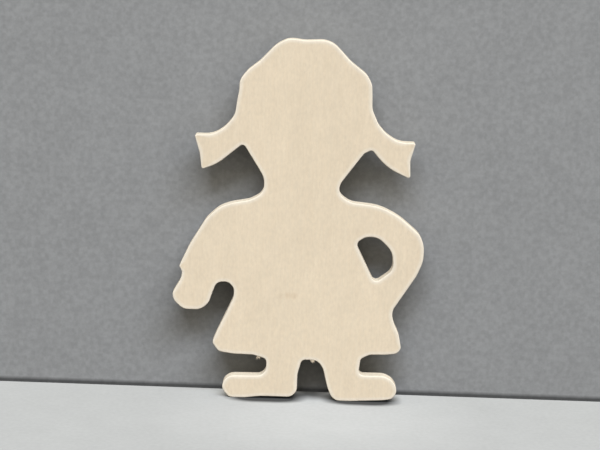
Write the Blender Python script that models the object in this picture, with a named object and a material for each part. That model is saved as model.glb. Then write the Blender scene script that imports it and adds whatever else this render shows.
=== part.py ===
"""A flat wooden figure of a girl, sawn from one sheet of five-ply birch plywood.

The five veneers are glued into one board and the outline is sawn through all of them, so every
ply has the same outline and lies face to face on the next. The grain runs up and down in the two
face plies and the core, and from side to side in the two cross plies. The front and back rims are
sanded round.

Frame: the figure stands on its shoes at z = 0 and faces -Y, and x = 0 is its centre line.
Left and right are the viewer's. Sizes are in metres. A size that differs between the two sides is a
(left, right) pair, a reach is measured outwards from the centre line, a level is measured up from
the floor, and a rise or a drop is measured up or down from the hem, the shoulders or the crown. A
corner of an arm or of its opening is one (reach, drop below the shoulders) spot.
"""
import math

import bmesh
import bpy

# The sheet
PLY_THICKNESS = 0.0012
RIM_ROUNDING = 0.0005
RIM_STEPS = 2

# How far the facets of a round corner may lie inside its arc, and how near two points count as one
ARC_ERROR = 0.00002
SAME_POINT = 0.00003

# Levels, stacked from the floor to the crown
LEG_HEIGHT = 0.0187
DRESS_HEIGHT = 0.0653
NECK_HEIGHT = 0.0090
HEAD_HEIGHT = 0.0570

# Crown and temples
CROWN_BUMP = 0.0042
CROWN_DIP = 0.0004
CROWN_DIP_DROP = 0.0005
CROWN_CORNER = (0.0072, 0.0078)
CROWN_CORNER_DROP = (0.0000, 0.0000)
CROWN_TURN = (0.0118, 0.0119)
CROWN_TURN_DROP = (0.0023, 0.0016)
SLOPE_BEND = (0.0180, 0.0186)
SLOPE_BEND_DROP = (0.0091, 0.0086)
TEMPLE_TOP = (0.0230, 0.0252)
TEMPLE_TOP_DROP = (0.0131, 0.0135)
TEMPLE = (0.0264, 0.0274)
TEMPLE_DROP = (0.0175, 0.0175)
CHEEK = (0.0263, 0.0277)
CHEEK_DROP = (0.0227, 0.0227)

# Pigtails
TAIL_ROOT = (0.0273, 0.0278)
TAIL_ROOT_DROP = (0.0253, 0.0276)
TAIL_RISE = (0.0272, 0.0307)
TAIL_RISE_DROP = (0.0311, 0.0338)
TAIL_BEND = (0.0319, 0.0337)
TAIL_BEND_DROP = (0.0370, 0.0372)
TAIL_TOP = (0.0368, 0.0389)
TAIL_TOP_DROP = (0.0400, 0.0406)
TAIL_TIP = (0.0441, 0.0462)
TAIL_WAIST = (0.0417, 0.0441)
TAIL_WAIST_DROP = (0.0477, 0.0480)
TAIL_POINT = (0.0408, 0.0445)
TAIL_POINT_DROP = (0.0544, 0.0555)
TAIL_UNDERSIDE = (0.0342, 0.0347)
TAIL_UNDERSIDE_DROP = (0.0518, 0.0512)
NOTCH_OUTER = (0.0248, 0.0284)
NOTCH_OUTER_DROP = (0.0437, 0.0440)
NOTCH_INNER = (0.0234, 0.0252)
NOTCH_INNER_DROP = (0.0440, 0.0457)

# Neck and shoulders
NECK = (0.0151, 0.0157)
NECK_TOP_RISE = (0.0000, -0.0018)
NECK_FOOT_RISE = (0.0028, 0.0033)
COLLAR = (0.0207, 0.0202)
COLLAR_DROP = (0.0004, 0.0001)

# Left arm, hanging, with a small cuff notch above a round hand
LEFT_YOKE = (0.0280, 0.0018)
LEFT_SHOULDER = (0.0331, 0.0036)
LEFT_UPPER_ARM = (0.0383, 0.0086)
LEFT_ELBOW = (0.0451, 0.0201)
LEFT_CUFF_POINT = (0.0490, 0.0289)
LEFT_CUFF_NOTCH = (0.0477, 0.0313)
LEFT_HAND_BACK = (0.0483, 0.0346)
LEFT_KNUCKLE = (0.0517, 0.0405)
LEFT_FINGERS = (0.0509, 0.0436)
LEFT_FINGERTIPS = (0.0470, 0.0470)
LEFT_THUMB = (0.0399, 0.0470)
LEFT_PALM = (0.0365, 0.0442)
LEFT_WRIST = (0.0354, 0.0406)
GAP_TOP_OUTER = (0.0334, 0.0349)
GAP_TOP_INNER = (0.0286, 0.0349)
GAP_SIDE = (0.0262, 0.0374)
GAP_SKIRT = (0.0262, 0.0413)

# Right arm, bent, with the hand on the hip
RIGHT_SHOULDER = (0.0324, 0.0011)
RIGHT_UPPER_ARM = (0.0409, 0.0054)
RIGHT_ELBOW_TOP = (0.0493, 0.0124)
RIGHT_ELBOW = (0.0513, 0.0166)
RIGHT_ELBOW_LOW = (0.0515, 0.0233)
RIGHT_FOREARM = (0.0488, 0.0299)
RIGHT_HAND = (0.0393, 0.0450)

# The opening between the bent arm and the dress
HOLE_WAIST = (0.0240, 0.0184)
HOLE_ARMPIT = (0.0240, 0.0164)
HOLE_SHOULDER = (0.0272, 0.0141)
HOLE_TOP = (0.0325, 0.0141)
HOLE_ELBOW_TOP = (0.0384, 0.0198)
HOLE_ELBOW = (0.0393, 0.0277)
HOLE_TIP = (0.0316, 0.0334)

# Skirt
RIGHT_HIP = (0.0401, 0.0498)
SKIRT_SIDE = (0.0332, 0.0427)
SKIRT_SIDE_RISE = (0.0083, 0.0102)
HEM_CORNER = (0.0347, 0.0438)
HEM_CORNER_RISE = (0.0045, 0.0046)
HEM_TURN = (0.0319, 0.0422)
HEM_TURN_RISE = (0.0008, 0.0023)
HEM_START = (0.0255, 0.0375)
HEM_START_RISE = (-0.0001, 0.0017)
HEM_END = (0.0175, 0.0308)
HEM_END_RISE = (-0.0002, 0.0015)

# Legs and shoes
LEG_OUTER = (0.0119, 0.0272)
LEG_OUTER_DROP = (0.0017, 0.0004)
ANKLE_OUTER = (0.0119, 0.0264)
SHOE_TOP = (0.0097, 0.0112)
SHOE_FRONT = (0.0264, 0.0370)
SHOE_FRONT_LEVEL = (0.0094, 0.0113)
TOE_TOP = (0.0287, 0.0404)
TOE_TOP_LEVEL = (0.0080, 0.0098)
TOE_FRONT = (0.0298, 0.0426)
TOE_FRONT_LEVEL = (0.0061, 0.0067)
TOE_END = (0.0301, 0.0426)
TOE_END_LEVEL = (0.0037, 0.0037)
TOE_SOLE = (0.0272, 0.0408)
LEFT_PAD_END = 0.0208
LEFT_ARCH_START = 0.0140
LEFT_ARCH = 0.0009
LEFT_HEEL = 0.0012
LEFT_CALF_DROP = 0.0079
LEFT_CALF = 0.0028
RIGHT_HEEL = 0.0164
RIGHT_PAD_END = 0.0230
RIGHT_BALL = 0.0370
RIGHT_BALL_SPRING = 0.0008
RIGHT_TOE_SPRING = 0.0014
RIGHT_ANKLE = 0.0139
RIGHT_ANKLE_DROP = 0.0134
RIGHT_CALF = 0.0117
RIGHT_CALF_DROP = 0.0047
CROTCH_DROP = 0.0016
CROTCH_END = 0.0091

# Corner radii
TIP_RADIUS = 0.0008
CRISP_RADIUS = 0.0014
CORNER_RADIUS = 0.0020
ROUND_RADIUS = 0.0031
BEND_RADIUS = 0.0042
SOFT_RADIUS = 0.0055
EASY_RADIUS = 0.0080
SWEEP_RADIUS = 0.0140
LONG_RADIUS = 0.0250
ANKLE_RADIUS = (0.0042, 0.0020)
TOE_RADIUS = 0.0036

# Node name, way the grain runs, and colour of each veneer, front to back
PLIES = (
    ("front_face_ply", "long", (0.78, 0.66, 0.50)),
    ("front_cross_ply", "cross", (0.66, 0.50, 0.33)),
    ("core_ply", "long", (0.72, 0.57, 0.39)),
    ("back_cross_ply", "cross", (0.66, 0.50, 0.33)),
    ("back_face_ply", "long", (0.77, 0.64, 0.47)),
)
ROUGHNESS = {"long": 0.62, "cross": 0.72}

LEFT = 0
RIGHT = 1
SHOULDERS = LEG_HEIGHT + DRESS_HEIGHT
JAW = SHOULDERS + NECK_HEIGHT
CROWN = JAW + HEAD_HEIGHT


def place(side, reach, level, radius):
    """One corner of the outline: where it is, and how far it is rounded."""
    sign = -1 if side == LEFT else 1
    return (sign * reach, level, radius)


def below_shoulders(side, spot, radius):
    """A corner of an arm or of its opening, from its reach and its drop below the shoulders."""
    reach, drop = spot
    return place(side, reach, SHOULDERS - drop, radius)


def crown():
    """The bump on the left of the parting, and the shallow dip beside it."""
    return [
        place(LEFT, CROWN_BUMP, CROWN, EASY_RADIUS),
        place(LEFT, CROWN_DIP, CROWN - CROWN_DIP_DROP, EASY_RADIUS),
    ]


def hair(side):
    """Half of the head: down from the crown, round the pigtail and in towards the neck."""
    corners = (
        (CROWN_CORNER, CROWN_CORNER_DROP, SWEEP_RADIUS),
        (CROWN_TURN, CROWN_TURN_DROP, SWEEP_RADIUS),
        (SLOPE_BEND, SLOPE_BEND_DROP, SWEEP_RADIUS),
        (TEMPLE_TOP, TEMPLE_TOP_DROP, EASY_RADIUS),
        (TEMPLE, TEMPLE_DROP, SOFT_RADIUS),
        (CHEEK, CHEEK_DROP, SOFT_RADIUS),
        (TAIL_ROOT, TAIL_ROOT_DROP, EASY_RADIUS),
        (TAIL_RISE, TAIL_RISE_DROP, EASY_RADIUS),
        (TAIL_BEND, TAIL_BEND_DROP, SWEEP_RADIUS),
        (TAIL_TOP, TAIL_TOP_DROP, SWEEP_RADIUS),
        (TAIL_TIP, TAIL_TOP_DROP, TIP_RADIUS),
        (TAIL_WAIST, TAIL_WAIST_DROP, EASY_RADIUS),
        (TAIL_POINT, TAIL_POINT_DROP, TIP_RADIUS),
        (TAIL_UNDERSIDE, TAIL_UNDERSIDE_DROP, LONG_RADIUS),
        (NOTCH_OUTER, NOTCH_OUTER_DROP, CRISP_RADIUS),
        (NOTCH_INNER, NOTCH_INNER_DROP, CORNER_RADIUS),
    )
    return [
        place(side, reach[side], CROWN - drop[side], radius)
        for reach, drop, radius in corners
    ]


def neck(side):
    """The neck's side, from the jaw down to where the shoulder flattens out."""
    return [
        place(side, NECK[side], JAW + NECK_TOP_RISE[side], EASY_RADIUS),
        place(side, NECK[side], SHOULDERS + NECK_FOOT_RISE[side], SOFT_RADIUS),
        place(side, COLLAR[side], SHOULDERS - COLLAR_DROP[side], EASY_RADIUS),
    ]


def left_arm():
    """The hanging arm, down its outside, round the hand and up to the arch over the gap."""
    spots = (
        (LEFT_YOKE, SWEEP_RADIUS),
        (LEFT_SHOULDER, SWEEP_RADIUS),
        (LEFT_UPPER_ARM, EASY_RADIUS),
        (LEFT_ELBOW, LONG_RADIUS),
        (LEFT_CUFF_POINT, TIP_RADIUS),
        (LEFT_CUFF_NOTCH, CORNER_RADIUS),
        (LEFT_HAND_BACK, EASY_RADIUS),
        (LEFT_KNUCKLE, ROUND_RADIUS),
        (LEFT_FINGERS, SOFT_RADIUS),
        (LEFT_FINGERTIPS, SOFT_RADIUS),
        (LEFT_THUMB, SOFT_RADIUS),
        (LEFT_PALM, SOFT_RADIUS),
        (LEFT_WRIST, EASY_RADIUS),
        (GAP_TOP_OUTER, BEND_RADIUS),
        (GAP_TOP_INNER, ROUND_RADIUS),
        (GAP_SIDE, ROUND_RADIUS),
        (GAP_SKIRT, EASY_RADIUS),
    )
    return [below_shoulders(LEFT, spot, radius) for spot, radius in spots]


def right_arm():
    """The bent arm, from the shoulder round the elbow to the hand on the hip."""
    spots = (
        (RIGHT_SHOULDER, LONG_RADIUS),
        (RIGHT_UPPER_ARM, LONG_RADIUS),
        (RIGHT_ELBOW_TOP, SWEEP_RADIUS),
        (RIGHT_ELBOW, SWEEP_RADIUS),
        (RIGHT_ELBOW_LOW, SWEEP_RADIUS),
        (RIGHT_FOREARM, SWEEP_RADIUS),
        (RIGHT_HAND, SOFT_RADIUS),
        (RIGHT_HIP, SWEEP_RADIUS),
    )
    return [below_shoulders(RIGHT, spot, radius) for spot, radius in spots]


def skirt(side):
    """The flared side of the skirt, its rounded corner and the hem in to the leg."""
    corners = (
        (SKIRT_SIDE, SKIRT_SIDE_RISE, EASY_RADIUS),
        (HEM_CORNER, HEM_CORNER_RISE, CORNER_RADIUS),
        (HEM_TURN, HEM_TURN_RISE, ROUND_RADIUS),
        (HEM_START, HEM_START_RISE, EASY_RADIUS),
        (HEM_END, HEM_END_RISE, ROUND_RADIUS),
    )
    return [
        place(side, reach[side], LEG_HEIGHT + rise[side], radius)
        for reach, rise, radius in corners
    ]


def shoe(side):
    """The outside of the leg and the shoe, from the hem round the toe to the sole."""
    return [
        place(side, LEG_OUTER[side], LEG_HEIGHT - LEG_OUTER_DROP[side], CORNER_RADIUS),
        place(side, ANKLE_OUTER[side], SHOE_TOP[side], ANKLE_RADIUS[side]),
        place(side, SHOE_FRONT[side], SHOE_FRONT_LEVEL[side], SOFT_RADIUS),
        place(side, TOE_TOP[side], TOE_TOP_LEVEL[side], SOFT_RADIUS),
        place(side, TOE_FRONT[side], TOE_FRONT_LEVEL[side], SOFT_RADIUS),
        place(side, TOE_END[side], TOE_END_LEVEL[side], TOE_RADIUS),
    ]


def left_sole():
    """The left shoe stands on its toe; its arch and heel are clear of the floor."""
    return [
        place(LEFT, TOE_SOLE[LEFT], 0.0, ROUND_RADIUS),
        place(LEFT, LEFT_PAD_END, 0.0, EASY_RADIUS),
        place(LEFT, LEFT_ARCH_START, LEFT_ARCH, EASY_RADIUS),
        place(RIGHT, LEFT_HEEL, LEFT_ARCH, BEND_RADIUS),
        place(RIGHT, LEFT_HEEL, LEG_HEIGHT - LEFT_CALF_DROP, EASY_RADIUS),
        place(RIGHT, LEFT_CALF, LEG_HEIGHT - CROTCH_DROP, CORNER_RADIUS),
    ]


def right_sole():
    """Down the right leg's inside, and the sole, which stands on its heel and rises to the toe."""
    return [
        place(RIGHT, CROTCH_END, LEG_HEIGHT - CROTCH_DROP, SOFT_RADIUS),
        place(RIGHT, RIGHT_CALF, LEG_HEIGHT - RIGHT_CALF_DROP, EASY_RADIUS),
        place(RIGHT, RIGHT_ANKLE, LEG_HEIGHT - RIGHT_ANKLE_DROP, SWEEP_RADIUS),
        place(RIGHT, RIGHT_HEEL, 0.0, BEND_RADIUS),
        place(RIGHT, RIGHT_PAD_END, 0.0, EASY_RADIUS),
        place(RIGHT, RIGHT_BALL, RIGHT_BALL_SPRING, EASY_RADIUS),
        place(RIGHT, TOE_SOLE[RIGHT], RIGHT_TOE_SPRING, ROUND_RADIUS),
    ]


def figure_corners():
    """The whole outline as corners, anticlockwise seen from the front."""
    left_side = hair(LEFT) + neck(LEFT) + left_arm() + skirt(LEFT) + shoe(LEFT) + left_sole()
    right_side = hair(RIGHT) + neck(RIGHT) + right_arm() + skirt(RIGHT) + shoe(RIGHT)
    return left_side + right_sole() + right_side[::-1] + crown()[::-1]


def hole_corners():
    """The opening between the bent arm and the dress, clockwise seen from the front."""
    spots = (
        (HOLE_WAIST, BEND_RADIUS),
        (HOLE_ARMPIT, CORNER_RADIUS),
        (HOLE_SHOULDER, SOFT_RADIUS),
        (HOLE_TOP, EASY_RADIUS),
        (HOLE_ELBOW_TOP, EASY_RADIUS),
        (HOLE_ELBOW, SOFT_RADIUS),
        (HOLE_TIP, CORNER_RADIUS),
    )
    return [below_shoulders(RIGHT, spot, radius) for spot, radius in spots]


def direction(start, end):
    """Unit vector from start to end, and the distance."""
    run, rise = end[0] - start[0], end[1] - start[1]
    length = math.hypot(run, rise)
    return (run / length, rise / length), length


def round_corner(before, corner, after):
    """Points on the arc at one corner, each with the outline's outward normal there.

    An arc never takes more than half of the straight stretch on either side of it.
    """
    (in_x, in_z), in_length = direction(before, corner)
    (out_x, out_z), out_length = direction(corner, after)
    turn = math.atan2(in_x * out_z - in_z * out_x, in_x * out_x + in_z * out_z)
    half_tangent = abs(math.tan(turn / 2))
    reach = min(corner[2] * half_tangent, in_length / 2, out_length / 2)
    radius = reach / half_tangent
    side = math.copysign(1.0, turn)
    start = (corner[0] - in_x * reach, corner[1] - in_z * reach)
    centre = (start[0] - in_z * radius * side, start[1] + in_x * radius * side)
    widest_step = 2 * math.acos(1 - min(1.0, ARC_ERROR / radius))
    steps = math.ceil(abs(turn) / widest_step)
    heading = math.atan2(in_z, in_x)
    arc = []
    for step in range(steps + 1):
        angle = heading + turn * step / steps
        normal = (math.sin(angle), -math.cos(angle))
        spot = (centre[0] + normal[0] * radius * side, centre[1] + normal[1] * radius * side)
        arc.append((spot, normal))
    return arc


def rounded_outline(corners):
    """The whole loop of points and outward normals, with every corner rounded.

    Where two arcs meet, the point that they share is kept once.
    """
    loop = []
    for index, corner in enumerate(corners):
        before = corners[index - 1]
        after = corners[(index + 1) % len(corners)]
        for spot, normal in round_corner(before, corner, after):
            if not loop or math.dist(loop[-1][0], spot) > SAME_POINT:
                loop.append((spot, normal))
    if math.dist(loop[-1][0], loop[0][0]) < SAME_POINT:
        loop.pop()
    return loop


def ply_sections(rounded_face):
    """Inset and depth of each ring round a ply, from its front (-Y) to its back.

    rounded_face is -1 or 1 where that face's rim is sanded round, and 0 on an inner ply.
    """
    half = PLY_THICKNESS / 2
    sections = [(0.0, -half), (0.0, half)]
    if not rounded_face:
        return sections
    rim = []
    for step in range(RIM_STEPS + 1):
        angle = math.pi / 2 * step / RIM_STEPS
        inset = RIM_ROUNDING * (1 - math.sin(angle))
        depth = half - RIM_ROUNDING * (1 - math.cos(angle))
        rim.append((inset, rounded_face * depth))
    if rounded_face < 0:
        return rim + sections[1:]
    return sections[:1] + rim[::-1]


def ring(bm, loop, inset, depth):
    """One ring of vertices round an outline, moved into the wood by the inset."""
    return [
        bm.verts.new((spot[0] - normal[0] * inset, depth, spot[1] - normal[1] * inset))
        for spot, normal in loop
    ]


def ring_edges(bm, verts):
    """The edges that join a ring's neighbouring vertices."""
    pairs = zip(verts, verts[1:] + verts[:1])
    return [bm.edges.get(pair) or bm.edges.new(pair) for pair in pairs]


def ply_mesh(name, loops, rounded_face):
    """A closed ply: walls lofted through its sections, and a filled face at each end."""
    bm = bmesh.new()
    sections = ply_sections(rounded_face)
    ends = ([], [])
    for loop in loops:
        rings = [ring(bm, loop, inset, depth) for inset, depth in sections]
        for front, back in zip(rings, rings[1:]):
            for index in range(len(loop)):
                follow = (index + 1) % len(loop)
                bm.faces.new((front[index], front[follow], back[follow], back[index]))
        ends[0].extend(ring_edges(bm, rings[0]))
        ends[1].extend(ring_edges(bm, rings[-1]))
    for edges in ends:
        bmesh.ops.triangle_fill(bm, use_beauty=True, use_dissolve=False, edges=edges)
    bmesh.ops.recalc_face_normals(bm, faces=bm.faces)
    mesh = bpy.data.meshes.new(name)
    bm.to_mesh(mesh)
    bm.free()
    mesh.shade_smooth()
    mesh.set_sharp_from_angle(angle=math.radians(40))
    return mesh


def wood(name, grain, colour):
    """A plain sanded veneer."""
    material = bpy.data.materials.new(name)
    material.use_nodes = True
    shader = material.node_tree.nodes["Principled BSDF"]
    shader.inputs["Base Color"].default_value = (*colour, 1.0)
    shader.inputs["Roughness"].default_value = ROUGHNESS[grain]
    shader.inputs["Metallic"].default_value = 0.0
    return material


def build():
    """Stack the plies from front to back on the board's middle plane."""
    for leftover in list(bpy.data.objects):
        bpy.data.objects.remove(leftover)
    board = bpy.data.objects.new("wooden_figure", None)
    bpy.context.scene.collection.objects.link(board)
    loops = (rounded_outline(figure_corners()), rounded_outline(hole_corners()))
    middle = (len(PLIES) - 1) / 2
    for index, (name, grain, colour) in enumerate(PLIES):
        rounded_face = {0: -1, len(PLIES) - 1: 1}.get(index, 0)
        ply = bpy.data.objects.new(name, ply_mesh(name, loops, rounded_face))
        ply.data.materials.append(wood(name, grain, colour))
        ply.location.y = (index - middle) * PLY_THICKNESS
        ply.parent = board
        bpy.context.scene.collection.objects.link(ply)


build()
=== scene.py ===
"""A flat wooden figure of a girl, sawn from birch plywood: its fine surface, finish and studio.

Each CAD ply is replaced by a finer one drawn through the same outline: smoother curves, rims
sanded round by hand, a shallow glue line at each joint of the plies, and a saw cut that wanders
by a few hundredths of a millimetre. Wood is a solid texture, so the grain of a ply runs on from
its face over the rim and down the sawn edge.

Frame: metres, +Z up, the figure stands at z = 0 and faces -Y. Left and right are the viewer's.
Colours are linear red, green and blue.
"""
import math
import random

import bmesh
import bpy
import numpy as np
from mathutils import Matrix, Vector, noise


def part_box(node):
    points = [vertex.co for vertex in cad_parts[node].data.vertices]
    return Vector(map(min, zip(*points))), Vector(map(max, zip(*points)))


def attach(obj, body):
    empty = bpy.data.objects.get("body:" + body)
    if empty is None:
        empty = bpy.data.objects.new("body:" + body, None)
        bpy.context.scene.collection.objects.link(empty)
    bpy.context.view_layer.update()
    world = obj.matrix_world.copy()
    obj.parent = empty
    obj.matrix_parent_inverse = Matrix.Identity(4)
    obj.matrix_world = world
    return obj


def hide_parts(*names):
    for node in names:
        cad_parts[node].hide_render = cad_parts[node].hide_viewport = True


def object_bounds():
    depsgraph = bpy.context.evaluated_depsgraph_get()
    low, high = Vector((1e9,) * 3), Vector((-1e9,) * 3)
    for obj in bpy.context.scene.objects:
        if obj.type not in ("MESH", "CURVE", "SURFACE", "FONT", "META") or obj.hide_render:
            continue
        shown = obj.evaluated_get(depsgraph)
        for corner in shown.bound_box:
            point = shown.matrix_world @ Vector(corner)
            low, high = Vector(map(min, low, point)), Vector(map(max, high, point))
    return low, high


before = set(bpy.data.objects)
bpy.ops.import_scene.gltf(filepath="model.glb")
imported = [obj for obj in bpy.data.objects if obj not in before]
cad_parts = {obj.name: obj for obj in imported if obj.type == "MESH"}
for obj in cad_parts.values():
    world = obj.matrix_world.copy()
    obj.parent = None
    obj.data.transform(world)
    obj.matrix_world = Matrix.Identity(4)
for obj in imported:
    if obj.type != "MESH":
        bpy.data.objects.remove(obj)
CAD_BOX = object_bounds()
MM = 0.001

# Camera: place in metres, angles in degrees, lens and sensor width in millimetres
CAMERA_PLACE = (0.00013, -0.7435, 0.20992)
CAMERA_PITCH = -10.4
CAMERA_ROLL = 2.0
CAMERA_LENS = 110.22
CAMERA_SENSOR = 36.0
CAMERA_NEAREST = 0.01

# Paper of the floor and the backdrop: its fine and its broad texture, in cycles a metre
PAPER_FINE_CYCLES = (560.0, 560.0, 560.0)
PAPER_BROAD_CYCLES = (60.0, 60.0, 60.0)
PAPER_ROUGHNESS = 0.9
PAPER_SPECULAR = 0.0

# Floor. Its tooth and its mottle are how far its fine and its broad texture stray from its colour.
# Its bounce is the colour that it throws back on the figure.
FLOOR_SIZE = 5.0
FLOOR_COLOUR = (0.368, 0.378, 0.380)
FLOOR_TOOTH = 0.03
FLOOR_MOTTLE = 0.02
FLOOR_BOUNCE = (0.10, 0.10, 0.10)

# Painted light pool before the feet: its middle, where it starts and ends to fade, its strength
FLOOR_LIGHT_POOL_MIDDLE = (0.010, -0.025, 0.0)
FLOOR_LIGHT_POOL_REACH = (0.020, 0.070)
FLOOR_LIGHT_POOL_SHARE = 1.18

# Shade of the floor about each sole and between them: its span along X, its span along Y, how far
# it stays dark, how far it reaches, and its least share of light. Steps along X count for less,
# by the share below, so that it thins out towards the ends of the soles.
SOLE_SHADES = (
    ((-0.0160, -0.0078), (-0.0030, 0.0030), 0.0037, 0.0071, 0.15),
    ((0.0245, 0.0318), (-0.0030, 0.0030), 0.0037, 0.0071, 0.15),
    ((0.0050, 0.0085), (0.0045, 0.0098), 0.0000, 0.0084, 0.21),
)
SOLE_ACROSS_SHARE = 0.52

# Backdrop: its gap to the figure's back, its width and height, and a painted shade line at its
# foot, by its height, the share of it that is darkest, and the share of light left there
WALL_GAP = 0.0068
WALL_SIZE = (0.80, 0.40)
WALL_COLOUR = (0.282, 0.288, 0.292)
WALL_TOOTH = 0.09
WALL_MOTTLE = 0.02
WALL_SHADE_LINE = 0.0026
WALL_SHADE_LINE_START = 0.4
WALL_SHADE_LINE_LEAST = 0.30

# Rays with fewer bounces than this come straight from a lamp
FIRST_BOUNCE = 1.5

# Sky: the colour that is seen, and the strength and tint of its light
SKY_COLOUR = (0.60, 0.61, 0.62)
SKY_LIGHT = 0.77
SKY_TINT = (1.0, 0.92, 0.76)

# Lamps: name, place, width and height, and power in watts. All of them face one spot.
LAMP_AIM = (0.0, 0.0, 0.07)
LAMP_TINT = (1.0, 1.055, 1.16)
LAMPS = (
    ("front_box", (1.62, -6.70, 9.83), (14.2, 3.5), 1630.0),
    ("left_strip", (-1.9, 0.25, 0.35), (0.7, 0.7), 6.0),
    ("right_strip", (1.9, 0.25, 0.35), (0.7, 0.7), 6.0),
    ("rear_strip", (0.0, 1.9, 0.24), (2.4, 0.42), 16.0),
)

# Birch tones: side grain and its darker fibres, the rim (paler partly as sanded wood, partly by a
# painted highlight), the sawn side grain, the sawn end grain of the upright and of the sideways
# plies, glue lines, and flecks in the front face
SIDE_TONE = (0.805, 0.695, 0.535)
FIBRE_TONE = (0.745, 0.620, 0.455)
RIM_AND_PAINTED_HIGHLIGHT_TONE = (0.845, 0.765, 0.640)
SAWN_TONE = (0.605, 0.550, 0.442)
UPRIGHT_END_TONE = (0.560, 0.500, 0.395)
SIDEWAYS_END_TONE = (0.500, 0.410, 0.295)
GLUE_TONE = (0.40, 0.27, 0.16)
GLUE_STRENGTH = 0.75
FLECK_TONE = (0.58, 0.42, 0.26)
FLECK_STRENGTH = 0.36

# Width across the grain and length along it of the birch's marks
BAND_SIZE = (9 * MM, 90 * MM)
FIBRE_SIZE = (0.55 * MM, 7 * MM)
PORE_SIZE = (0.30 * MM, 3.2 * MM)
FIGURE_SIZE = (1.1 * MM, 1.7 * MM)

# Cycles a metre along X, Y and Z of the marks that don't follow the grain
CLOUD_CYCLES = (170.0, 170.0, 110.0)
SAW_CYCLES = (2600.0, 160.0, 2600.0)
FLECK_CYCLES = (900.0, 900.0, 500.0)

# The span of a noise that is spread over a mark's shades, and each mark's darkest and palest
# share of the wood's tone. The last pair holds for the figure's foot and its crown.
NOISE_SPAN = (0.3, 0.7)
BAND_SHADES = (0.980, 1.015)
CLOUD_SHADES = (0.970, 1.020)
FIGURE_SHADES = (0.965, 1.035)
SAW_SHADES = (0.95, 1.03)
HEIGHT_SHADES = (1.030, 0.985)

# Spans of noise, or of how far a surface turns to the grain, in which a mark sets in
FIBRE_SPAN = (0.32, 0.72)
FIBRE_MIX = (0.14, 0.60)
PORE_SPAN = (0.64, 0.76)
PORE_SHADE = 0.92
END_GRAIN_SPAN = (0.25, 0.95)

# Sheen and relief of the wood. The relief's parts are shares of its depth.
WOOD_ROUGHNESS = (0.56, 0.68)
SAWN_ROUGHNESS = 0.78
WOOD_SPECULAR = 0.32
FIBRE_RELIEF = 0.35
PORE_RELIEF = -0.20
RELIEF_STRENGTH = 0.5
RELIEF_DEPTH = 0.00004

# Faint brown flecks in the front face: middle (x, z), half width, half height and strength
FLECKS = (
    (-7.0 * MM, 43.9 * MM, 1.6 * MM, 1.3 * MM, 0.55),
    (-3.9 * MM, 44.2 * MM, 1.6 * MM, 1.5 * MM, 1.00),
    (-1.3 * MM, 44.2 * MM, 1.5 * MM, 1.4 * MM, 0.95),
)

# Where a fleck starts and ends to fade, as its squared distance in half widths, how ragged it is,
# and the depths between which it ends
FLECK_FADE = (0.1, 1.4)
FLECK_RAGGED_SPAN = (0.35, 0.60)
FLECK_RAGGED_LEAST = 0.35
FLECK_DEPTHS = (0.1 * MM, 0.2 * MM)

# The sawn outline
POINT_SPACING = 0.24 * MM
OUTLINE_ROUNDS = 3
CORNER_CUT = 0.25
SAW_WANDER = 0.020 * MM
SAW_WANDER_PITCH = 7.0 * MM
PLY_WANDER = 0.012 * MM
PLY_WANDER_PITCH = 1.6 * MM

# How near two corners count as one, how far a front edge may lie behind the front, and how
# squarely a flat face turns to the front
SAME_POINT = 0.001 * MM
FRONT_SLACK = 0.01 * MM
FLAT_FACING = 0.9

# Where the saw ran on more smoothly, down the left side of the head: middle height and half
# height of the stretch, and how many points its evening takes in on either side
EASED_HEIGHT = 124.0 * MM
EASED_HALF = 9.0 * MM
EASED_REACH = 10
EASED_ROUNDS = 3

# Rims: their rounding, the pale fade inside them (partly sanded wood, partly a painted highlight),
# and the most that each takes of the wood's own half width. Half way along the fade, its colour is
# the share given last.
RIM_ROUNDING = 0.42 * MM
RIM_VARIATION = 0.10 * MM
RIM_VARIATION_PITCH = 9.0 * MM
RIM_STEPS = 6
RIM_FADE = 1.40 * MM
RIM_SHARE = 0.60
FADE_SHARE = 0.35
FADE_MIDDLE_TONE = 0.55

# Finding the wood's half width: its limit, how far inwards a point has to lie to count, as a share
# of its distance, and how many points on either side are levelled with it
WIDEST_WOOD = 1.0
INWARD_SHARE = 0.02
LEVEL_REACH = 3

# Glue lines: depth and half width of the groove, and its section, each row with a share of the
# depth, a share of the half width and how much glue shows there
GLUE_DEPTH = 0.022 * MM
GLUE_WIDTH = 0.070 * MM
GLUE_SECTION = ((1.0, 0.0, 1.0), (0.4, 0.5, 0.7), (0.0, 1.0, 0.0))

# Edges sharper than this, in degrees, aren't smoothed over
SHARP_ANGLE = 50.0

# Fibres torn loose by the saw: middle and half width of each patch, and how many, between which
# heights and on how steep an underside they hang, and how deep in the front ply they root
TORN_PATCHES = ((-15.0 * MM, 0.6 * MM, 12), (7.3 * MM, 0.9 * MM, 22))
TORN_HEIGHTS = (15.0 * MM, 25.0 * MM)
TORN_FACING = -0.75
TORN_DEPTHS = (0.20 * MM, 0.50 * MM)
TORN_ROOT = 0.25 * MM
TORN_SEED = 8

# One torn fibre: length, width, how it leans along X and Y, how it bends along X and Z, and its
# taper, each row with a share of its length and a share of its width
TORN_LENGTHS = (0.80 * MM, 1.70 * MM)
TORN_WIDTH = 0.15 * MM
TORN_SIDES = 3
TORN_LEANS = ((-0.5, 0.5), (-0.10, 0.15))
TORN_BENDS = ((-0.4, 0.4), (-0.1, 0.2))
TORN_TAPER = ((0.0, 1.0), (0.35, 0.9), (0.7, 0.6), (1.0, 0.15))

# Plies of one kind, the face of a ply whose rim is sanded round, and the seeds of their wander
FACE_PLIES = ("front_face_ply", "back_face_ply")
CROSS_PLIES = ("front_cross_ply", "back_cross_ply")
CORE_PLIES = ("core_ply",)
ROUNDED_FACES = {"front_face_ply": -1, "back_face_ply": 1}
FIRST_SEED = 11.0
SEED_STEP = 4.7

# The axis along which a ply's grain runs
SIDEWAYS = 0
UPRIGHT = 2


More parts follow.
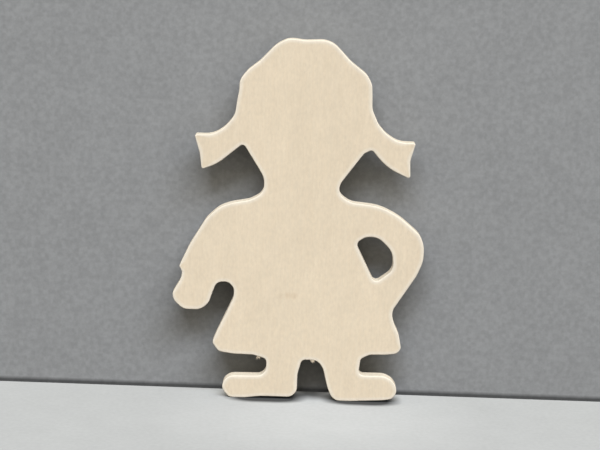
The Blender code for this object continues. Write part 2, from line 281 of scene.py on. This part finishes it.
def node(tree, kind, inputs=None, **settings):
    """A shader node with its settings, and its inputs set or linked."""
    made = tree.nodes.new(kind)
    for name, value in settings.items():
        setattr(made, name, value)
    for name, value in (inputs or {}).items():
        if isinstance(value, bpy.types.NodeSocket):
            tree.links.new(value, made.inputs[name])
        else:
            made.inputs[name].default_value = value
    return made


def blank_material(name):
    """A material with only its shader and output."""
    material = bpy.data.materials.new(name)
    material.use_nodes = True
    tree = material.node_tree
    tree.nodes.clear()
    shader = node(tree, "ShaderNodeBsdfPrincipled")
    output = node(tree, "ShaderNodeOutputMaterial")
    tree.links.new(shader.outputs["BSDF"], output.inputs["Surface"])
    return material, tree, shader


def stretched_noise(tree, place, cycles, detail=2.0, roughness=0.5):
    """Noise with its own count of cycles a metre along X, Y and Z."""
    counted = node(tree, "ShaderNodeVectorMath", {0: place, 1: cycles}, operation="MULTIPLY")
    made = node(tree, "ShaderNodeTexNoise", {
        "Vector": counted.outputs["Vector"], "Scale": 1.0, "Detail": detail, "Roughness": roughness,
    })
    return made.outputs["Fac"]


def ramp(tree, value, low, high, out_low=0.0, out_high=1.0):
    """A value carried from one range to another, and held at its ends."""
    made = node(tree, "ShaderNodeMapRange", {
        "Value": value, "From Min": low, "From Max": high, "To Min": out_low, "To Max": out_high,
    })
    return made.outputs["Result"]


def shaded(tree, value, shades):
    """A noise spread over a darkest and a palest shade."""
    return ramp(tree, value, *NOISE_SPAN, *shades)


def between(tree, factor, first, second):
    """A value between two others."""
    return node(tree, "ShaderNodeMix", {0: factor, 2: first, 3: second}).outputs[0]


def mixed(tree, factor, first, second):
    """A mix of two colours, each of them a node's or a plain red, green and blue."""
    first, second = [(*item, 1.0) if isinstance(item, tuple) else item for item in (first, second)]
    made = node(tree, "ShaderNodeMix", {0: factor, 6: first, 7: second}, data_type="RGBA")
    return made.outputs[2]


def scaled(tree, colour, share):
    """A colour times a share."""
    made = node(tree, "ShaderNodeVectorMath", {0: colour, "Scale": share}, operation="SCALE")
    return made.outputs["Vector"]


def math_node(tree, operation, first, second):
    """Arithmetic on two values."""
    made = node(tree, "ShaderNodeMath", {0: first, 1: second}, operation=operation)
    return made.outputs["Value"]


def product(tree, values):
    """All the values multiplied, one after the other."""
    total = values[0]
    for value in values[1:]:
        total = math_node(tree, "MULTIPLY", total, value)
    return total


def squared_length(tree, first, second):
    """The sum of the squares of two values."""
    return math_node(tree, "ADD", math_node(tree, "MULTIPLY", first, first),
                     math_node(tree, "MULTIPLY", second, second))


def axes(tree, vector):
    """A vector's parts, by the names X, Y and Z or the numbers 0, 1 and 2."""
    return node(tree, "ShaderNodeSeparateXYZ", {0: vector}).outputs


def painted(tree, name):
    """A mask that is stored on the mesh."""
    return node(tree, "ShaderNodeAttribute", attribute_name=name).outputs["Fac"]


def looking_ray(tree):
    """One for rays from the eye, by mirror or through glass too, and zero for rays of light."""
    path = node(tree, "ShaderNodeLightPath")
    mirrored = math_node(tree, "MAXIMUM", path.outputs["Is Glossy Ray"],
                         path.outputs["Is Transmission Ray"])
    return math_node(tree, "MAXIMUM", path.outputs["Is Camera Ray"], mirrored)


def grain_cycles(along, size):
    """Cycles a metre for marks with a width and a length, whose length runs along an axis."""
    width, length = size
    cycles = [1.0 / width] * 3
    cycles[along] = 1.0 / length
    return cycles


def fleck_mask(tree, place):
    """Soft brown flecks in the front face."""
    parts = axes(tree, place)
    ragged = stretched_noise(tree, place, FLECK_CYCLES)
    total = 0.0
    for x, z, half_width, half_height, strength in FLECKS:
        across = math_node(tree, "SUBTRACT", parts["X"], x)
        across = math_node(tree, "MULTIPLY", across, 1.0 / half_width)
        upward = math_node(tree, "SUBTRACT", parts["Z"], z)
        upward = math_node(tree, "MULTIPLY", upward, 1.0 / half_height)
        away = squared_length(tree, across, upward)
        total = math_node(tree, "ADD", total, ramp(tree, away, *FLECK_FADE, strength, 0.0))
    rough_edge = ramp(tree, ragged, *FLECK_RAGGED_SPAN, FLECK_RAGGED_LEAST, 1.0)
    start, end = [CAD_BOX[0][1] + depth for depth in FLECK_DEPTHS]
    front = ramp(tree, parts["Y"], start, end, 1.0, 0.0)
    return product(tree, (total, rough_edge, front))


def grain_shade(tree, place, along, pores):
    """The birch's marks, and a tone paler at its foot, darker at its crown, as shares of its tone."""
    bands = stretched_noise(tree, place, grain_cycles(along, BAND_SIZE), detail=3.0)
    cloud = stretched_noise(tree, place, CLOUD_CYCLES, detail=3.0, roughness=0.6)
    figure = stretched_noise(tree, place, grain_cycles(along, FIGURE_SIZE))
    return product(tree, (
        shaded(tree, bands, BAND_SHADES),
        shaded(tree, cloud, CLOUD_SHADES),
        shaded(tree, figure, FIGURE_SHADES),
        ramp(tree, pores, *PORE_SPAN, 1.0, PORE_SHADE),
        # Paler towards the foot and darker towards the crown, an even change with height
        ramp(tree, axes(tree, place)["Z"], 0.0, CAD_BOX[1][2], *HEIGHT_SHADES),
    ))


def birch_relief(tree, fibres, pores, saw, wall):
    """Raised fibres and sunk pores, and the saw's marks on the sawn wall."""
    relief = math_node(tree, "ADD", math_node(tree, "MULTIPLY", fibres, FIBRE_RELIEF),
                       math_node(tree, "MULTIPLY", pores, PORE_RELIEF))
    relief = math_node(tree, "ADD", relief, math_node(tree, "MULTIPLY", saw, wall))
    bump = node(tree, "ShaderNodeBump", {
        "Height": relief, "Strength": RELIEF_STRENGTH, "Distance": RELIEF_DEPTH,
    })
    return bump.outputs["Normal"]


def birch(name, along, end_tone):
    """Sanded birch with its grain along one axis, paler rims (partly a painted highlight), darker
    sawn edges and glue lines.

    Flecks are only in the plies with upright grain, and their mask keeps them to the front face.
    """
    material, tree, shader = blank_material(name)
    where = node(tree, "ShaderNodeTexCoord")
    place = where.outputs["Object"]
    fibres = stretched_noise(tree, place, grain_cycles(along, FIBRE_SIZE), detail=3.0, roughness=0.6)
    pores = stretched_noise(tree, place, grain_cycles(along, PORE_SIZE), detail=1.0)
    saw = stretched_noise(tree, place, SAW_CYCLES, detail=3.0, roughness=0.65)
    wall = painted(tree, "wall")

    tone = mixed(tree, ramp(tree, fibres, *FIBRE_SPAN, *FIBRE_MIX), SIDE_TONE, FIBRE_TONE)
    # Paler rim, partly the sanded wood's tone and partly a painted highlight along the edges
    tone = mixed(tree, painted(tree, "rim"), tone, RIM_AND_PAINTED_HIGHLIGHT_TONE)
    facing = axes(tree, where.outputs["Normal"])[along]
    end_grain = ramp(tree, math_node(tree, "ABSOLUTE", facing, 0.0), *END_GRAIN_SPAN)
    tone = mixed(tree, wall, tone, mixed(tree, end_grain, SAWN_TONE, end_tone))

    saw_shade = between(tree, wall, 1.0, shaded(tree, saw, SAW_SHADES))
    shade = product(tree, (grain_shade(tree, place, along, pores), saw_shade))
    glue = math_node(tree, "MULTIPLY", painted(tree, "glue"), GLUE_STRENGTH)
    colour = mixed(tree, glue, scaled(tree, tone, shade), GLUE_TONE)
    if along == UPRIGHT:
        fleck = math_node(tree, "MULTIPLY", fleck_mask(tree, place), FLECK_STRENGTH)
        colour = mixed(tree, fleck, colour, FLECK_TONE)
    tree.links.new(colour, shader.inputs["Base Color"])

    rough = between(tree, wall, shaded(tree, fibres, WOOD_ROUGHNESS), SAWN_ROUGHNESS)
    tree.links.new(rough, shader.inputs["Roughness"])
    shader.inputs["Specular IOR Level"].default_value = WOOD_SPECULAR
    tree.links.new(birch_relief(tree, fibres, pores, saw, wall), shader.inputs["Normal"])
    return material


def studio_paper(name, colour, tooth, mottle, shade_line=0.0):
    """Matt paper or card. tooth and mottle are how far its fine and its broad texture stray from
    the plain colour, and the last one is the height of a painted shade line where it stands."""
    material, tree, shader = blank_material(name)
    place = node(tree, "ShaderNodeTexCoord").outputs["Object"]
    fine = stretched_noise(tree, place, PAPER_FINE_CYCLES)
    broad = stretched_noise(tree, place, PAPER_BROAD_CYCLES, detail=3.0)
    shades = [shaded(tree, fine, (1.0 - tooth, 1.0 + tooth))]
    shades.append(shaded(tree, broad, (1.0 - mottle, 1.0 + mottle)))
    # Painted shade: a dark line along the bottom, where the card meets the floor
    if shade_line:
        height = axes(tree, place)["Z"]
        shades.append(ramp(tree, height, WALL_SHADE_LINE_START * shade_line, shade_line, WALL_SHADE_LINE_LEAST, 1.0))
    tree.links.new(scaled(tree, colour, product(tree, shades)), shader.inputs["Base Color"])
    shader.inputs["Roughness"].default_value = PAPER_ROUGHNESS
    shader.inputs["Specular IOR Level"].default_value = PAPER_SPECULAR
    return material, tree, shader


def plain_sheet(name, corners, material):
    """A flat four-cornered sheet."""
    mesh = bpy.data.meshes.new(name)
    mesh.from_pydata(corners, [], [(0, 1, 2, 3)])
    mesh.materials.append(material)
    sheet = bpy.data.objects.new(name, mesh)
    bpy.context.scene.collection.objects.link(sheet)


def outside(tree, value, span):
    """How far a value lies outside a span, and zero within it."""
    low, high = span
    away = math_node(tree, "SUBTRACT", value, (low + high) / 2)
    away = math_node(tree, "SUBTRACT", math_node(tree, "ABSOLUTE", away, 0.0), (high - low) / 2)
    return math_node(tree, "MAXIMUM", away, 0.0)


def sole_shade(tree, place, across, along, dark, reach, least):
    """The floor's shade close about a sole, as a share of its light."""
    parts = axes(tree, place)
    aside = math_node(tree, "MULTIPLY", outside(tree, parts["X"], across), SOLE_ACROSS_SHARE)
    ahead = outside(tree, parts["Y"], along)
    away = math_node(tree, "SQRT", squared_length(tree, aside, ahead), 0.0)
    return ramp(tree, away, dark, reach, least, 1.0)


def floor():
    """A pale floor with a painted light pool before the feet and painted shade about the soles."""
    paper, tree, shader = studio_paper("floor_paper", FLOOR_COLOUR, FLOOR_TOOTH, FLOOR_MOTTLE)
    half = FLOOR_SIZE / 2
    plain_sheet("floor", [
        (-half, -half, 0), (half, -half, 0), (half, half, 0), (-half, half, 0),
    ], paper)
    plain = shader.inputs["Base Color"].links[0].from_socket
    place = node(tree, "ShaderNodeTexCoord").outputs["Object"]
    away = node(tree, "ShaderNodeVectorMath", {0: place, 1: FLOOR_LIGHT_POOL_MIDDLE}, operation="DISTANCE")
    # Painted pool of light: the floor is made paler just before the feet
    shares = [ramp(tree, away.outputs["Value"], *FLOOR_LIGHT_POOL_REACH, FLOOR_LIGHT_POOL_SHARE, 1.0)]
    for sizes in SOLE_SHADES:
        shares.append(sole_shade(tree, place, *sizes))
    pale = scaled(tree, plain, product(tree, shares))
    tree.links.new(mixed(tree, looking_ray(tree), FLOOR_BOUNCE, pale), shader.inputs["Base Color"])


def backdrop():
    """A grey card close behind the figure.

    From behind it is clear. It stops bounced light from behind it, as a real one would, but lets
    direct light through, so that the figure's back is lit in views from there.
    """
    card, tree, shader = studio_paper("backdrop_card", WALL_COLOUR, WALL_TOOTH, WALL_MOTTLE, WALL_SHADE_LINE)
    half, height = WALL_SIZE[0] / 2, WALL_SIZE[1]
    behind = CAD_BOX[1][1] + WALL_GAP
    plain_sheet("backdrop", [
        (-half, behind, 0), (half, behind, 0), (half, behind, height), (-half, behind, height),
    ], card)
    clear = node(tree, "ShaderNodeBsdfTransparent")
    behind_it = node(tree, "ShaderNodeNewGeometry").outputs["Backfacing"]
    depth = node(tree, "ShaderNodeLightPath").outputs["Ray Depth"]
    direct = math_node(tree, "LESS_THAN", depth, FIRST_BOUNCE)
    let_through = math_node(tree, "SUBTRACT", direct, looking_ray(tree))
    one_sided = node(tree, "ShaderNodeMixShader", {
        0: math_node(tree, "MAXIMUM", behind_it, let_through),
        1: shader.outputs["BSDF"], 2: clear.outputs["BSDF"],
    })
    output = next(item for item in tree.nodes if item.type == "OUTPUT_MATERIAL")
    tree.links.new(one_sided.outputs["Shader"], output.inputs["Surface"])


def lamps():
    """A broad box high in front, and low strips at the sides and behind, a little cool."""
    for name, place, size, power in LAMPS:
        light = bpy.data.lights.new(name, "AREA")
        light.shape = "RECTANGLE"
        light.size, light.size_y = size
        light.energy = power
        light.color = LAMP_TINT
        lamp = bpy.data.objects.new(name, light)
        lamp.location = place
        lamp.rotation_euler = (Vector(LAMP_AIM) - Vector(place)).to_track_quat("-Z", "Y").to_euler()
        lamp.visible_camera = False
        bpy.context.scene.collection.objects.link(lamp)


def sky():
    """An even, warm light from all round, which is seen as a pale grey."""
    world = bpy.data.worlds.new("studio_sky")
    bpy.context.scene.world = world
    world.use_nodes = True
    tree = world.node_tree
    tree.nodes.clear()
    lit = node(tree, "ShaderNodeBackground", {"Color": (*SKY_TINT, 1), "Strength": SKY_LIGHT})
    seen = node(tree, "ShaderNodeBackground", {"Color": (*SKY_COLOUR, 1), "Strength": 1.0})
    both = node(tree, "ShaderNodeMixShader", {
        0: looking_ray(tree), 1: lit.outputs["Background"], 2: seen.outputs["Background"],
    })
    node(tree, "ShaderNodeOutputWorld", {"Surface": both.outputs["Shader"]})


def camera():
    """The photograph's viewpoint: a long lens, looking down a little, and held at a slight tilt."""
    pitch, roll = math.radians(CAMERA_PITCH), math.radians(CAMERA_ROLL)
    ahead = Vector((0.0, math.cos(pitch), math.sin(pitch)))
    level_right = Vector((1.0, 0.0, 0.0))
    level_up = level_right.cross(ahead)
    right = level_right * math.cos(roll) + level_up * math.sin(roll)
    up = level_up * math.cos(roll) - level_right * math.sin(roll)
    made = bpy.data.cameras.new("camera")
    made.lens = CAMERA_LENS
    made.sensor_width = CAMERA_SENSOR
    made.sensor_fit = "HORIZONTAL"
    made.clip_start = CAMERA_NEAREST
    holder = bpy.data.objects.new("camera", made)
    turn = Matrix((right, up, -ahead)).transposed().to_4x4()
    holder.matrix_world = Matrix.Translation(CAMERA_PLACE) @ turn
    bpy.context.scene.collection.objects.link(holder)
    bpy.context.scene.camera = holder


def joined_copy(ply):
    """The ply's mesh with its split corners joined again."""
    bm = bmesh.new()
    bm.from_mesh(ply.data)
    bmesh.ops.remove_doubles(bm, verts=bm.verts, dist=SAME_POINT)
    bm.normal_update()
    return bm


def sawn_loops(ply):
    """The closed loops in which a ply's front face meets its sawn wall, as (x, z) points.

    Each loop has the wood on its left, seen from the front.
    """
    bm = joined_copy(ply)
    front = min(vert.co.y for vert in bm.verts)
    follow = {}
    for edge in bm.edges:
        if any(vert.co.y > front + FRONT_SLACK for vert in edge.verts):
            continue
        flat = [face for face in edge.link_faces if abs(face.normal.y) > FLAT_FACING]
        if len(flat) != 1:
            continue
        loop = next(item for item in edge.link_loops if item.face is flat[0])
        follow[loop.vert] = loop.link_loop_next.vert
    loops = []
    while follow:
        start, vert = follow.popitem()
        loop = [start, vert]
        while vert in follow:
            vert = follow.pop(vert)
            loop.append(vert)
        loops.append(np.array([(item.co.x, item.co.z) for item in loop[:-1]]))
    bm.free()
    return sorted(loops, key=len, reverse=True)


def softened(loop):
    """The loop with its facets rounded off by cutting corners."""
    keep = 1.0 - CORNER_CUT
    for _ in range(OUTLINE_ROUNDS):
        ahead = np.roll(loop, -1, axis=0)
        loop = np.stack([loop * keep + ahead * CORNER_CUT, loop * CORNER_CUT + ahead * keep], 1)
        loop = loop.reshape(-1, 2)
    return loop


def respaced(loop):
    """Points at an even spacing along the loop, with the outward direction at each."""
    closed = np.vstack([loop, loop[:1]])
    run = np.concatenate([[0.0], np.cumsum(np.hypot(*np.diff(closed, axis=0).T))])
    count = int(round(run[-1] / POINT_SPACING))
    stops = np.arange(count) * run[-1] / count
    points = np.stack([np.interp(stops, run, closed[:, 0]), np.interp(stops, run, closed[:, 1])], 1)
    along = np.roll(points, -1, axis=0) - np.roll(points, 1, axis=0)
    along /= np.hypot(*along.T)[:, None]
    return points, np.stack([along[:, 1], -along[:, 0]], 1)


def eased(points):
    """The outline with the left side of the head drawn more smoothly."""
    away = np.abs(points[:, 1] - EASED_HEIGHT) / EASED_HALF
    share = np.where(points[:, 0] < 0.0, np.cos(np.minimum(away, 1.0) * math.pi / 2) ** 2, 0.0)
    even = points
    for _ in range(EASED_ROUNDS):
        shifts = range(-EASED_REACH, EASED_REACH + 1)
        even = np.mean([np.roll(even, shift, axis=0) for shift in shifts], axis=0)
    return points + share[:, None] * (even - points)


def drift(points, pitch, seed):
    """Smooth noise from 0 to 1 along an outline."""
    return np.array([
        0.5 + 0.5 * noise.noise(Vector((x / pitch, seed, z / pitch))) for x, z in points
    ])


def wood_depth(points, outward):
    """The radius of the largest circle that fits in the wood and touches it at each point."""
    depths = np.full(len(points), WIDEST_WOOD)
    for index, (point, normal) in enumerate(zip(points, outward)):
        away = points - point
        inward = -(away @ normal)
        squared = (away ** 2).sum(1)
        behind = inward > INWARD_SHARE * np.sqrt(squared)
        behind[index] = False
        if behind.any():
            depths[index] = (squared[behind] / (2 * inward[behind])).min()
    return depths


def levelled(values, reach):
    """Each value lowered to the least one near it, and then evened out over as many."""
    shifts = range(-reach, reach + 1)
    least = np.min([np.roll(values, shift) for shift in shifts], axis=0)
    return np.mean([np.roll(least, shift) for shift in shifts], axis=0)


def fine_outline():
    """The loops of the sawn outline: points, outward directions and the wood's half width there."""
    outline = []
    for loop in sawn_loops(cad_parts["core_ply"]):
        points, outward = respaced(eased(respaced(softened(loop))[0]))
        outline.append((points, outward, levelled(wood_depth(points, outward), LEVEL_REACH)))
    return outline


def loop_edges(bm, verts):
    """The edges that join a ring's neighbouring vertices."""
    return [bm.edges.get(pair) or bm.edges.new(pair) for pair in zip(verts, verts[1:] + verts[:1])]


def loft(bm, rings):
    """Faces between each ring of vertices and the next."""
    for near, far in zip(rings, rings[1:]):
        for index in range(len(near)):
            follow = (index + 1) % len(near)
            bm.faces.new((near[index], near[follow], far[follow], far[index]))


def finished_mesh(bm, name, material):
    """The mesh of a closed body, with its faces turned outwards."""
    bmesh.ops.recalc_face_normals(bm, faces=bm.faces)
    mesh = bpy.data.meshes.new(name)
    bm.to_mesh(mesh)
    bm.free()
    mesh.materials.append(material)
    return mesh


def placed(name, mesh):
    """A mesh as an object in the scene."""
    thing = bpy.data.objects.new(name, mesh)
    bpy.context.scene.collection.objects.link(thing)
    return thing


def ring_rows(front, back, rounded_face):
    """The rings round a ply, from its front to its back.

    Each row is (inset as a share of the rim's rounding, inset as a share of the fade, inset of the
    glue groove, depth, depth as a share of the rounding, and the rim, wall and glue masks).
    rounded_face is -1 or 1 where that face's rim is sanded round, and 0 on an inner ply.
    """
    groove = [(GLUE_DEPTH * cut, GLUE_WIDTH * run, glue) for cut, run, glue in GLUE_SECTION]
    front_rows = [(0.0, 0.0, cut, front + run, 0.0, 0.0, 1.0, glue) for cut, run, glue in groove]
    back_rows = [(0.0, 0.0, cut, back - run, 0.0, 0.0, 1.0, glue) for cut, run, glue in groove[::-1]]
    if not rounded_face:
        return front_rows + back_rows
    face = front if rounded_face < 0 else back
    # The pale fade inside the rim, partly a painted highlight
    rim = [(1.0, 1.0, 0.0, face, 0.0, 0.0, 0.0, 0.0)]
    rim.append((1.0, 0.5, 0.0, face, 0.0, FADE_MIDDLE_TONE, 0.0, 0.0))
    for step in range(RIM_STEPS + 1):
        angle = math.pi / 2 * step / RIM_STEPS
        sunk = -rounded_face * (1.0 - math.cos(angle))
        wall = (step / RIM_STEPS) ** 2
        rim.append((1.0 - math.sin(angle), 0.0, 0.0, face, sunk, 1.0, wall, 0.0))
    return rim + back_rows if rounded_face < 0 else front_rows + rim[::-1]


def ply_ring(bm, points, depths, masks):
    """One ring of vertices, each with its painted masks."""
    verts = []
    for (x, z), y in zip(points, depths):
        vert = bm.verts.new((x, y, z))
        for name, value in masks.items():
            vert[bm.verts.layers.float[name]] = value
        verts.append(vert)
    return verts


def ply_rings(bm, rows, points, outward, room, number, seed):
    """All the rings round one loop of a ply, with the saw's wander and the rim's variation."""
    wander = SAW_WANDER * drift(points, SAW_WANDER_PITCH, number)
    wander += PLY_WANDER * drift(points, PLY_WANDER_PITCH, seed)
    rounding = RIM_ROUNDING + RIM_VARIATION * (2 * drift(points, RIM_VARIATION_PITCH, seed) - 1)
    rounding = np.minimum(rounding, RIM_SHARE * room)
    # Width of the rim's pale fade, partly a painted highlight
    fade = np.minimum(RIM_FADE, FADE_SHARE * room)
    rings = []
    for share, spread, cut, depth, sunk, rim, wall, glue in rows:
        inset = wander + cut + share * rounding + spread * fade
        spots = points - outward * inset[:, None]
        masks = {"rim": rim, "wall": wall, "glue": glue}
        rings.append(ply_ring(bm, spots, depth + sunk * rounding, masks))
    return rings


def build_ply(name, depths, rounded_face, outline, material, seed):
    """One fine ply: walls lofted round the outline, and a flat face at each side."""
    bm = bmesh.new()
    for mask in ("rim", "wall", "glue"):
        bm.verts.layers.float.new(mask)
    rows = ring_rows(*depths, rounded_face)
    ends = ([], [])
    for number, (points, outward, room) in enumerate(outline):
        rings = ply_rings(bm, rows, points, outward, room, number, seed)
        loft(bm, rings)
        ends[0].extend(loop_edges(bm, rings[0]))
        ends[1].extend(loop_edges(bm, rings[-1]))
    for edges in ends:
        bmesh.ops.triangle_fill(bm, use_beauty=True, use_dissolve=False, edges=edges)
    mesh = finished_mesh(bm, name, material)
    mesh.shade_smooth()
    mesh.set_sharp_from_angle(angle=math.radians(SHARP_ANGLE))
    return placed(name, mesh)


def fibre(bm, root, heading, length, bend):
    """One loose fibre: a bent three-sided sliver that thins to a point."""
    heading = heading.normalized()
    side = heading.orthogonal().normalized()
    other = heading.cross(side)
    rings = []
    for share, width in TORN_TAPER:
        middle = root + heading * length * share + bend * length * share * share
        ring = []
        for corner in range(TORN_SIDES):
            angle = corner * math.tau / TORN_SIDES
            spoke = side * math.cos(angle) + other * math.sin(angle)
            ring.append(bm.verts.new(middle + spoke * TORN_WIDTH * width))
        rings.append(ring)
    loft(bm, rings)
    bm.faces.new(rings[0][::-1])
    bm.faces.new(rings[-1])


def torn_spots(points, outward, middle, half):
    """The numbers of the outline's points on an underside near a middle."""
    low, high = TORN_HEIGHTS
    near = (np.abs(points[:, 0] - middle) < half) & (outward[:, 1] < TORN_FACING)
    near &= (points[:, 1] > low) & (points[:, 1] < high)
    return np.flatnonzero(near).tolist()


def torn_fibres(points, outward, wood):
    """Small tufts that the saw left standing on undersides of the front ply."""
    dice = random.Random(TORN_SEED)
    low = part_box("front_face_ply")[0]
    shallow, deep = [low[1] + depth for depth in TORN_DEPTHS]
    bm = bmesh.new()
    for middle, half, count in TORN_PATCHES:
        near = torn_spots(points, outward, middle, half)
        for _ in range(count):
            index = dice.choice(near)
            down = Vector((outward[index, 0], 0.0, outward[index, 1]))
            depth = dice.uniform(shallow, deep)
            root = Vector((points[index, 0], depth, points[index, 1])) - down * TORN_ROOT
            lean = Vector((dice.uniform(*TORN_LEANS[0]), dice.uniform(*TORN_LEANS[1]), 0.0))
            bend = Vector((dice.uniform(*TORN_BENDS[0]), 0.0, dice.uniform(*TORN_BENDS[1])))
            fibre(bm, root, down + lean, dice.uniform(*TORN_LENGTHS), bend)
    tufts = placed("torn_fibres", finished_mesh(bm, "torn_fibres", wood))
    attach(tufts, "root")


def plies():
    """The five fine plies in place of the CAD ones, and the fibres torn from the front one."""
    face_wood = birch("face_birch", UPRIGHT, UPRIGHT_END_TONE)
    cross_wood = birch("cross_birch", SIDEWAYS, SIDEWAYS_END_TONE)
    core_wood = birch("core_birch", UPRIGHT, UPRIGHT_END_TONE)
    kinds = (
        (FACE_PLIES, face_wood, "face_veneer"),
        (CROSS_PLIES, cross_wood, "cross_veneer"),
        (CORE_PLIES, core_wood, "core_veneer"),
    )
    outline = fine_outline()
    seed = FIRST_SEED
    for names, wood, slot in kinds:
        for node_name in names:
            low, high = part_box(node_name)
            rounded = ROUNDED_FACES.get(node_name, 0)
            seed += SEED_STEP
            ply = build_ply("fine_" + node_name, (low[1], high[1]), rounded, outline, wood, seed)
            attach(ply, "root")
            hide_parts(node_name)
    torn_fibres(*outline[0][:2], face_wood)


bpy.context.scene.view_settings.view_transform = "Standard"
camera()
floor()
backdrop()
lamps()
sky()
plies()
